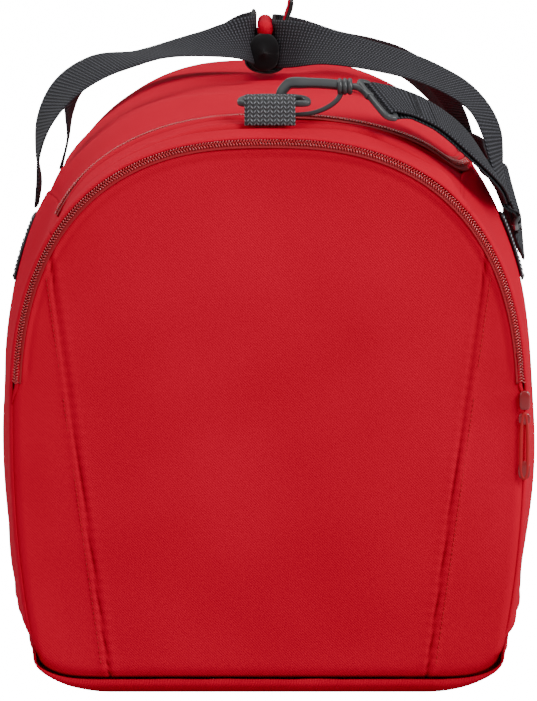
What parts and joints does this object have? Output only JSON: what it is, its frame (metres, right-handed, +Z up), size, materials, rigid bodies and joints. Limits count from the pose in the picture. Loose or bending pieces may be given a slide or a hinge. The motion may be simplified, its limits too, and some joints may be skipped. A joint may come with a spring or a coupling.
{
  "type": "hockey equipment bag",
  "caption": "Soft duffel bag with a hinged dome lid, a zipped flap at each end, carry handles with a wrapped grip, and a shoulder strap on snap hooks.",
  "frame": {"origin": "on the floor under the middle of the base", "axes": "+X to the right seen from the front end, +Y from the front end to the rear end, +Z up"},
  "size_m": [0.4042, 0.7618, 0.4882],
  "materials": {
    "red_cloth": "matte twill",
    "zip_coil": "satin",
    "webbing": "woven ribs",
    "patch_weave": "open weave",
    "grip_padding": "brushed nap",
    "grey_plastic": "satin"
  },
  "bodies": {
    "shell": {"base_panel": "red_cloth", "left_side_panel": "red_cloth", "right_side_panel": "red_cloth", "lid_zip_body_side": "zip_coil", "strap": "webbing", "strap_return": "webbing", "strap_end_fold": "webbing", "front_gusset": "red_cloth", "front_divider": "red_cloth", "front_lower_panel": "red_cloth", "front_lower_left_gore": "red_cloth", "front_lower_right_gore": "red_cloth", "front_zip_body_side": "zip_coil", "front_left_handle_patch": "patch_weave", "front_right_handle_patch": "patch_weave", "front_ring_tab": "webbing", "front_hook_eye": "grey_plastic", "rear_gusset": "red_cloth", "rear_divider": "red_cloth", "rear_lower_panel": "red_cloth", "rear_lower_left_gore": "red_cloth", "rear_lower_right_gore": "red_cloth", "rear_zip_body_side": "zip_coil", "rear_left_handle_patch": "patch_weave", "rear_right_handle_patch": "patch_weave", "rear_ring_tab": "webbing", "rear_hook_eye": "grey_plastic"},
    "front_flap": {"front_flap_panel": "red_cloth", "front_flap_left_gore": "red_cloth", "front_flap_right_gore": "red_cloth", "front_zip_flap_side": "zip_coil"},
    "front_d_ring": {"front_d_ring": "grey_plastic"},
    "front_hook": {"front_hook": "grey_plastic"},
    "front_hook_gate": {"front_hook_gate": "grey_plastic"},
    "front_zip_slider": {"front_zip_slider": "grey_plastic"},
    "front_zip_pull": {"front_zip_pull": "red_cloth"},
    "front_lid_slider": {"front_lid_slider": "grey_plastic"},
    "front_lid_pull": {"front_lid_pull": "red_cloth"},
    "rear_flap": {"rear_flap_panel": "red_cloth", "rear_flap_left_gore": "red_cloth", "rear_flap_right_gore": "red_cloth", "rear_zip_flap_side": "zip_coil"},
    "rear_d_ring": {"rear_d_ring": "grey_plastic"},
    "rear_hook": {"rear_hook": "grey_plastic"},
    "rear_hook_gate": {"rear_hook_gate": "grey_plastic"},
    "rear_zip_slider": {"rear_zip_slider": "grey_plastic"},
    "rear_zip_pull": {"rear_zip_pull": "red_cloth"},
    "rear_lid_slider": {"rear_lid_slider": "grey_plastic"},
    "rear_lid_pull": {"rear_lid_pull": "red_cloth"},
    "lid": {"lid_panel": "red_cloth", "lid_zip_lid_side": "zip_coil"},
    "left_handle": {"left_handle": "webbing"},
    "right_handle": {"right_handle": "webbing", "grip_wrap": "grip_padding"},
    "grip_flap": {"grip_flap": "grip_padding"},
    "strap_adjuster": {"strap_adjuster": "grey_plastic"}
  },
  "joints": [
    {"name": "lid_hinge", "type": "hinge", "parent": "shell", "child": "lid", "pos_m": [-0.168, 0, 0.3504], "axis": [0, -1, 0], "range_deg": [0, 95]},
    {"name": "left_handle_swing", "type": "hinge", "parent": "shell", "child": "left_handle", "pos_m": [-0.18, 0, 0.339], "axis": [0, -1, 0], "range_deg": [0, 110]},
    {"name": "right_handle_swing", "type": "hinge", "parent": "shell", "child": "right_handle", "pos_m": [0.186, 0, 0.338], "axis": [0, 1, 0], "range_deg": [0, 134]},
    {"name": "grip_flap_hinge", "type": "hinge", "parent": "right_handle", "child": "grip_flap", "pos_m": [0.0139, 0, 0.4646], "axis": [0, 1, 0], "range_deg": [-30, 50]},
    {"name": "adjuster_slide", "type": "slide", "parent": "shell", "child": "strap_adjuster", "axis": [0.0953, 0.9535, -0.286], "range_m": [0, 0.028]},
    {"name": "front_flap_fold", "type": "hinge", "parent": "shell", "child": "front_flap", "pos_m": [0, -0.3763, 0.228], "axis": [1, 0, 0], "range_deg": [0, 120]},
    {"name": "front_d_ring_pivot", "type": "hinge", "parent": "shell", "child": "front_d_ring", "pos_m": [0.004, -0.344, 0.4255], "axis": [1, 0, 0], "range_deg": [-2, 6]},
    {"name": "front_hook_swivel", "type": "hinge", "parent": "shell", "child": "front_hook", "pos_m": [0.055, -0.331, 0.437], "axis": [1, 0, 0], "range_deg": [-3, 3]},
    {"name": "front_gate_hinge", "type": "hinge", "parent": "front_hook", "child": "front_hook_gate", "pos_m": [0.05, -0.331, 0.429], "axis": [0, 1, 0], "range_deg": [0, 12], "stiffness_Nm_per_rad": 0.05},
    {"name": "front_zip_slide", "type": "slide", "parent": "shell", "child": "front_zip_slider", "axis": [-0.1044, 0, 0.9945], "range_m": [0, 0.06]},
    {"name": "front_zip_pull_hinge", "type": "hinge", "parent": "front_zip_slider", "child": "front_zip_pull", "pos_m": [0.1834, -0.3784, 0.2055], "axis": [-1, 0, 0], "range_deg": [0, 110]},
    {"name": "front_lid_zip_slide", "type": "slide", "parent": "shell", "child": "front_lid_slider", "axis": [0, -1, 0], "range_m": [0, 0.09]},
    {"name": "front_lid_pull_hinge", "type": "hinge", "parent": "front_lid_slider", "child": "front_lid_pull", "pos_m": [0.15705, -0.0215, 0.37195], "axis": [-0.5822, 0, 0.8131], "range_deg": [0, 100]},
    {"name": "rear_flap_fold", "type": "hinge", "parent": "shell", "child": "rear_flap", "pos_m": [0, 0.3763, 0.228], "axis": [-1, 0, 0], "range_deg": [0, 120]},
    {"name": "rear_d_ring_pivot", "type": "hinge", "parent": "shell", "child": "rear_d_ring", "pos_m": [0.004, 0.344, 0.4255], "axis": [-1, 0, 0], "range_deg": [-2, 6]},
    {"name": "rear_hook_swivel", "type": "hinge", "parent": "shell", "child": "rear_hook", "pos_m": [0.055, 0.331, 0.437], "axis": [-1, 0, 0], "range_deg": [-3, 3]},
    {"name": "rear_gate_hinge", "type": "hinge", "parent": "rear_hook", "child": "rear_hook_gate", "pos_m": [0.05, 0.331, 0.429], "axis": [0, 1, 0], "range_deg": [0, 12], "stiffness_Nm_per_rad": 0.05},
    {"name": "rear_zip_slide", "type": "slide", "parent": "shell", "child": "rear_zip_slider", "axis": [-0.1044, 0, 0.9945], "range_m": [0, 0.06]},
    {"name": "rear_zip_pull_hinge", "type": "hinge", "parent": "rear_zip_slider", "child": "rear_zip_pull", "pos_m": [0.1834, 0.3784, 0.2055], "axis": [1, 0, 0], "range_deg": [0, 110]},
    {"name": "rear_lid_zip_slide", "type": "slide", "parent": "shell", "child": "rear_lid_slider", "axis": [0, 1, 0], "range_m": [0, 0.09]},
    {"name": "rear_lid_pull_hinge", "type": "hinge", "parent": "rear_lid_slider", "child": "rear_lid_pull", "pos_m": [0.15705, 0.0215, 0.37195], "axis": [0.5822, 0, -0.8131], "range_deg": [0, 100]}
  ],
  "couplings": [
    {"joint": "left_handle_swing", "follows": "lid_hinge", "ratio": 1.15},
    {"joint": "right_handle_swing", "follows": "lid_hinge", "ratio": 1.4}
  ]
}
